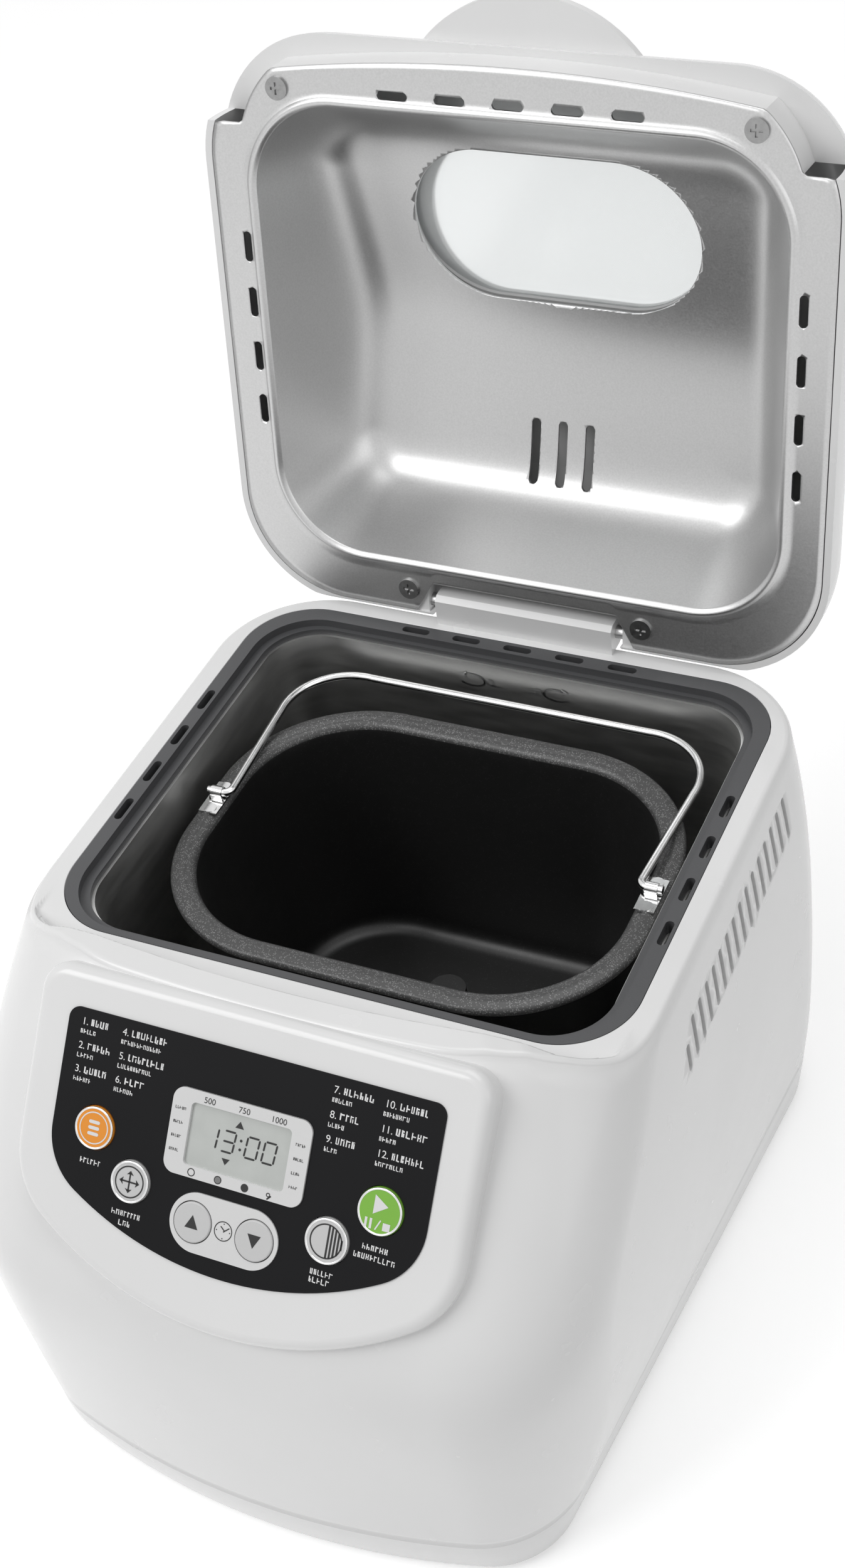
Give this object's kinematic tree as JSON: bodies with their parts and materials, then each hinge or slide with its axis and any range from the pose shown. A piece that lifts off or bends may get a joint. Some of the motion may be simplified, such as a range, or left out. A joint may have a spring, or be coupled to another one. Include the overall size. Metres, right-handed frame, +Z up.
{
  "type": "bread machine",
  "caption": "Household bread maker with hinged windowed lid, lift-out baking pan with folding wire handle, kneading paddle drive and sloping control panel with push buttons.",
  "frame": {"origin": "centre of the footprint box with the lid open, on the surface the feet stand on", "axes": "+Z up, +X to the user's right, -Y towards the user and the control panel"},
  "size_m": [0.238, 0.357, 0.4031],
  "materials": {
    "white_plastic": "gloss",
    "fascia_plastic": "gloss",
    "foot_rubber": "matte",
    "zinc_steel": "satin",
    "grey_deck": "satin",
    "chamber_steel": "satin",
    "heater_steel": "matte",
    "motor_grey": "satin",
    "black_plastic": "matte",
    "board_green": "matte",
    "belt_rubber": "matte",
    "black_sheet": "gloss",
    "bezel_white": "satin",
    "display_glass": "gloss",
    "satin_silver": "satin",
    "window_glass": "gloss",
    "seal_rubber": "matte",
    "pan_nonstick": "satin",
    "pan_cast": "satin",
    "bright_steel": "polished",
    "orange_key": "satin",
    "green_key": "satin",
    "white_key": "satin"
  },
  "bodies": {
    "machine": {"body_shell": "white_plastic", "base_tray": "white_plastic", "rubber_feet": "foot_rubber", "base_screws": "zinc_steel", "deck_frame": "grey_deck", "oven_liner": "chamber_steel", "heating_element": "heater_steel", "heater_cradles": "chamber_steel", "pan_socket": "chamber_steel", "temperature_sensor": "zinc_steel", "spindle_bearing": "zinc_steel", "chassis_plate": "zinc_steel", "chassis_posts": "zinc_steel", "motor_body": "motor_grey", "capacitor": "black_plastic", "power_board": "board_green", "control_board": "board_green", "drive_belt": "belt_rubber", "control_fascia": "fascia_plastic", "panel_overlay": "black_sheet", "display_bezel": "bezel_white", "display_glass": "display_glass", "time_plate": "bezel_white", "hinge_block": "white_plastic", "hinge_pin": "zinc_steel", "cord_gland": "black_plastic"},
    "lid": {"lid_shell": "white_plastic", "lid_liner": "satin_silver", "window_glass": "window_glass", "window_seal": "seal_rubber", "lid_screws": "zinc_steel"},
    "pan": {"bread_pan": "pan_nonstick", "pan_foot": "pan_cast", "pan_bush": "pan_cast", "handle_clips": "bright_steel", "clip_rivets": "bright_steel"},
    "handle": {"pan_handle": "bright_steel"},
    "paddle": {"kneading_paddle": "pan_nonstick", "pan_spindle": "zinc_steel", "pan_wing": "zinc_steel"},
    "drive": {"drive_spindle": "zinc_steel", "driven_pulley": "black_plastic", "drive_dog": "zinc_steel"},
    "rotor": {"motor_shaft": "zinc_steel", "motor_pulley": "zinc_steel", "motor_fan": "black_plastic"},
    "menu_key": {"menu_button": "orange_key"},
    "size_key": {"size_button": "white_key"},
    "crust_key": {"crust_button": "white_key"},
    "start_key": {"start_button": "green_key"},
    "time_up_key": {"time_up_button": "white_key"},
    "time_down_key": {"time_down_button": "white_key"}
  },
  "joints": [
    {"name": "lid_hinge", "type": "hinge", "parent": "machine", "child": "lid", "pos_m": [0, 0.10515, 0.1865], "axis": [1, 0, 0], "range_deg": [0, 98.55]},
    {"name": "pan_lift", "type": "slide", "parent": "machine", "child": "pan", "axis": [0, 0, 1], "range_m": [0, 0.2]},
    {"name": "handle_swing", "type": "hinge", "parent": "pan", "child": "handle", "pos_m": [0, 0.005, 0.1639], "axis": [1, 0, 0], "range_deg": [0, 180]},
    {"name": "paddle_spin", "type": "hinge", "parent": "pan", "child": "paddle", "pos_m": [0, 0.003, 0.06], "axis": [0, 0, 1], "continuous": true},
    {"name": "drive_spin", "type": "hinge", "parent": "machine", "child": "drive", "pos_m": [0, 0.003, 0.03], "axis": [0, 0, 1], "continuous": true},
    {"name": "motor_spin", "type": "hinge", "parent": "machine", "child": "rotor", "pos_m": [0, -0.125, 0.06], "axis": [0, 0, 1], "continuous": true},
    {"name": "menu_press", "type": "slide", "parent": "machine", "child": "menu_key", "axis": [0, 0.7716, -0.6361], "range_m": [0, 0.0008], "stiffness_N_per_m": 500},
    {"name": "size_press", "type": "slide", "parent": "machine", "child": "size_key", "axis": [0, 0.7716, -0.6361], "range_m": [0, 0.0008], "stiffness_N_per_m": 500},
    {"name": "crust_press", "type": "slide", "parent": "machine", "child": "crust_key", "axis": [0, 0.7716, -0.6361], "range_m": [0, 0.0008], "stiffness_N_per_m": 500},
    {"name": "start_press", "type": "slide", "parent": "machine", "child": "start_key", "axis": [0, 0.7716, -0.6361], "range_m": [0, 0.0008], "stiffness_N_per_m": 500},
    {"name": "time_up_press", "type": "slide", "parent": "machine", "child": "time_up_key", "axis": [0, 0.7716, -0.6361], "range_m": [0, 0.0008], "stiffness_N_per_m": 500},
    {"name": "time_down_press", "type": "slide", "parent": "machine", "child": "time_down_key", "axis": [0, 0.7716, -0.6361], "range_m": [0, 0.0008], "stiffness_N_per_m": 500}
  ],
  "couplings": [
    {"joint": "paddle_spin", "follows": "drive_spin", "ratio": 1},
    {"joint": "motor_spin", "follows": "drive_spin", "ratio": 4}
  ]
}
